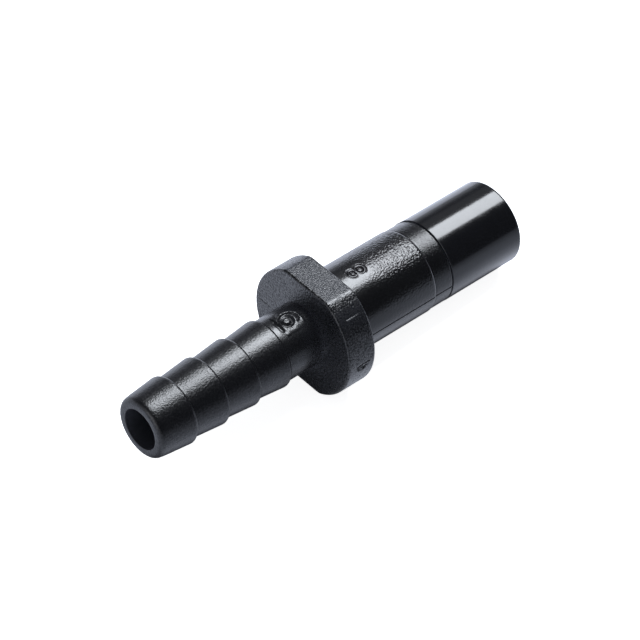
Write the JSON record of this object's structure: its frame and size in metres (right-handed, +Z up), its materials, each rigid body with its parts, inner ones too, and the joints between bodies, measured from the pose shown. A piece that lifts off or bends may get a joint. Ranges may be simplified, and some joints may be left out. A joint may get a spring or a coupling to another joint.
{
  "type": "barbed stem connector",
  "caption": "Straight moulded connector: a barbed tail for soft hose, a collar with spanner flats and a round stem for a push-in tube fitting, with a passage right through.",
  "frame": {"origin": "on the surface that the part lies on, below the middle of its length", "axes": "+X along the part towards its stem, +Z up. The part lies on the edge of one spanner flat and on the end of its stem, so its own axis dips 4.358 degrees below +X and points along (0.9971087, 0, -0.0759889)"},
  "size_m": [0.0416, 0.0122, 0.0112],
  "materials": {
    "black_plastic": "black moulding: satin tail, rough collar, grained stem, polished stem end"
  },
  "bodies": {
    "root": {"connector_body": "black_plastic"}
  },
  "joints": []
}
